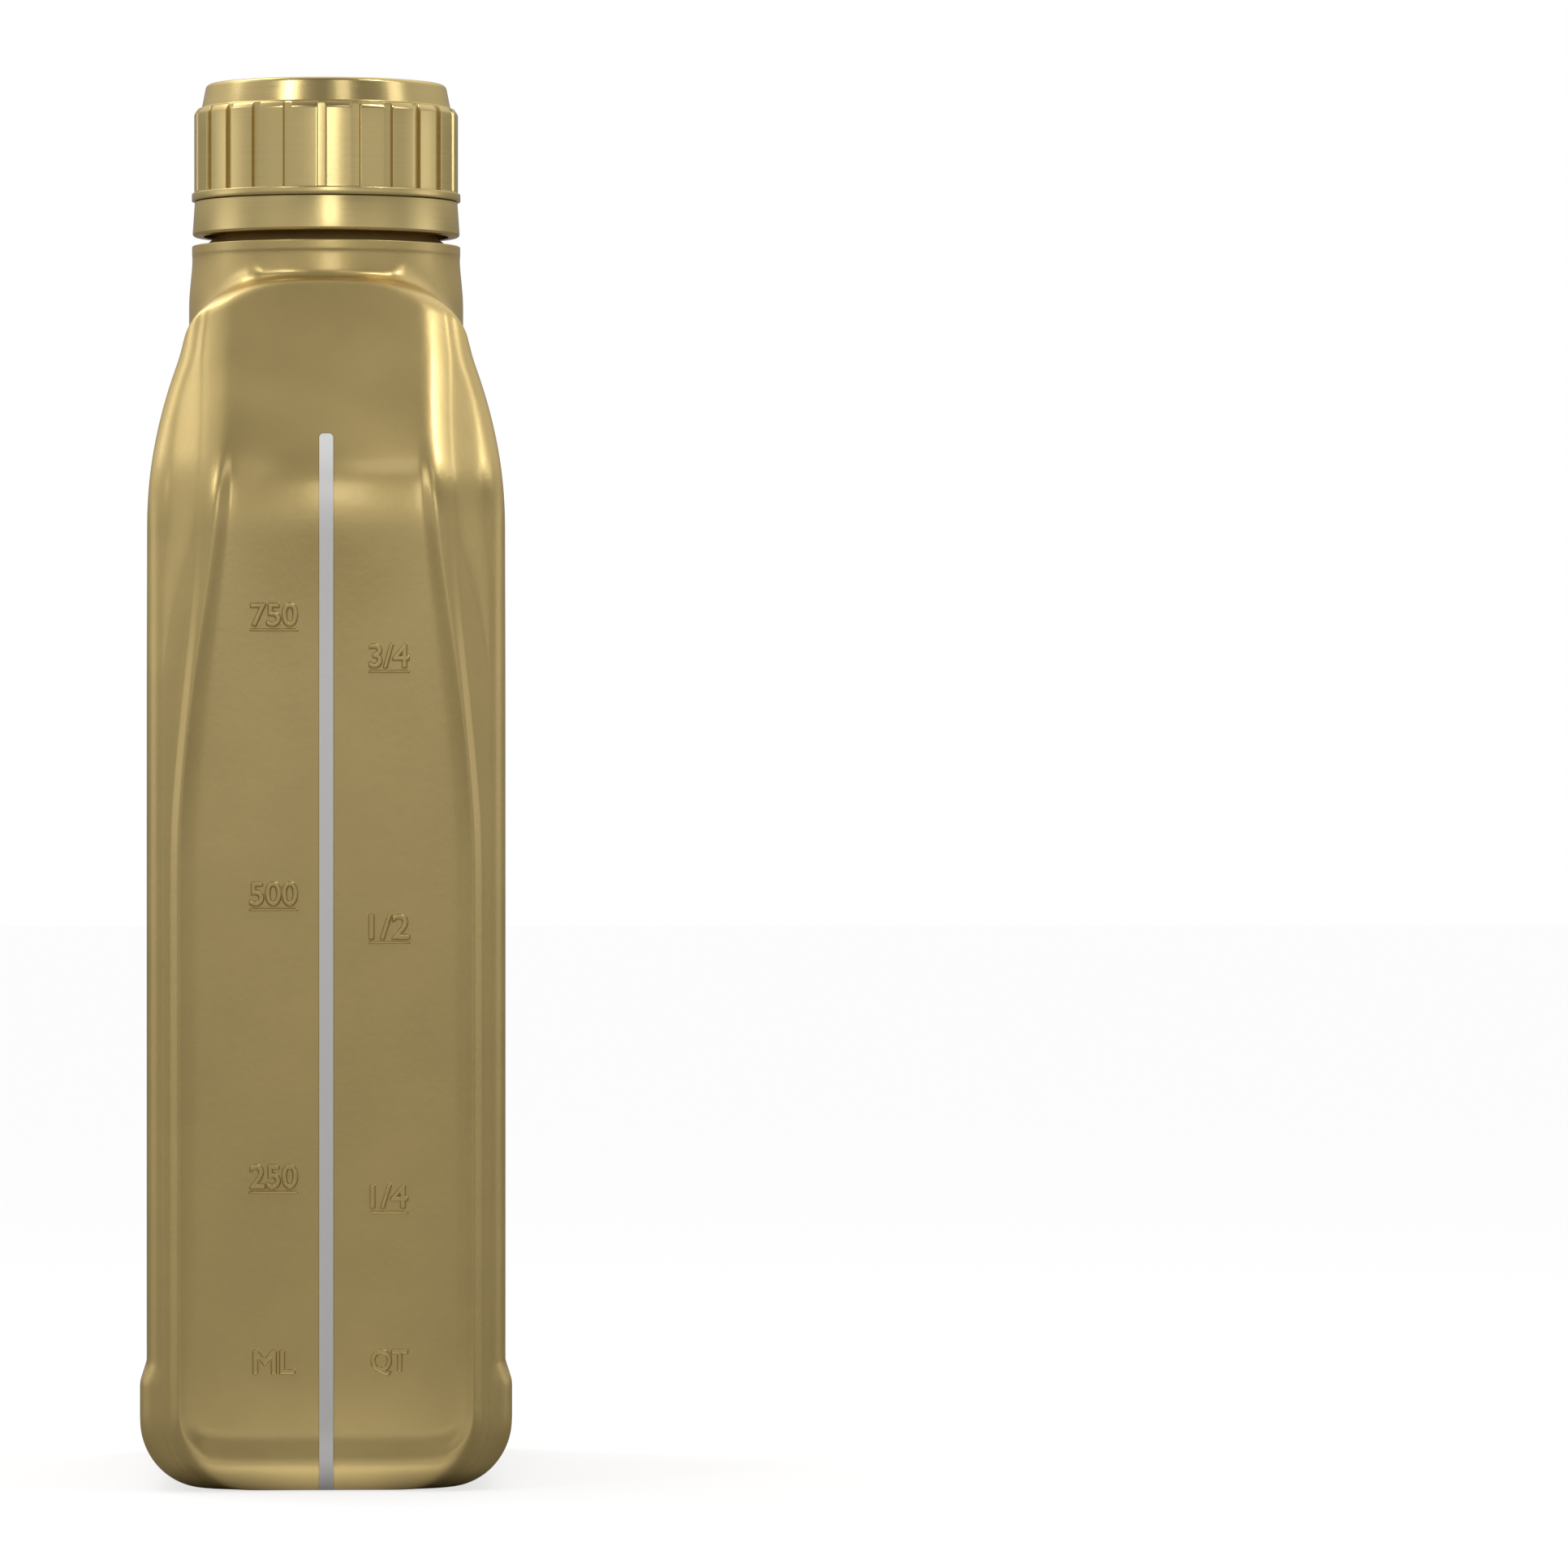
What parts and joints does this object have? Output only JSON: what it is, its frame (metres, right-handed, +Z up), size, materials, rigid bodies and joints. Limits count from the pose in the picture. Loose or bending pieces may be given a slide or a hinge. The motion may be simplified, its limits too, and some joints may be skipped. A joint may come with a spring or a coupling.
{
  "type": "motor oil bottle",
  "caption": "Flat-sided plastic oil bottle with sloped shoulders, railed narrow sides, a sight strip, and a threaded screw cap with grip lands and a tamper band.",
  "frame": {"origin": "middle of the standing face, at the bottom of the bottle", "axes": "+Z up through the neck; the graduated narrow side faces -Y; the broad faces look along +X and -X"},
  "size_m": [0.0606, 0.104, 0.2321],
  "materials": {
    "bottle_gold": "satin gold blow-moulded polyethylene with fine metallic flake and a pale translucent sight strip",
    "cap_gold": "glossy gold injection-moulded plastic",
    "wad_white": "white foamed sealing wad",
    "band_gold": "glossy gold injection-moulded plastic"
  },
  "bodies": {
    "bottle": {"bottle": "bottle_gold", "tamper_band": "band_gold"},
    "wad": {"cap_liner": "wad_white"},
    "cap": {"cap": "cap_gold"}
  },
  "joints": [
    {"name": "cap_lift", "type": "slide", "parent": "bottle", "child": "wad", "axis": [0, 0, 1], "range_m": [0, 0.00635]},
    {"name": "cap_turn", "type": "hinge", "parent": "wad", "child": "cap", "pos_m": [0, 0, 0.2225], "axis": [0, 0, 1], "range_deg": [0, 540]}
  ],
  "couplings": [
    {"joint": "cap_lift", "follows": "cap_turn", "m_per_rad": 0.00067375}
  ]
}
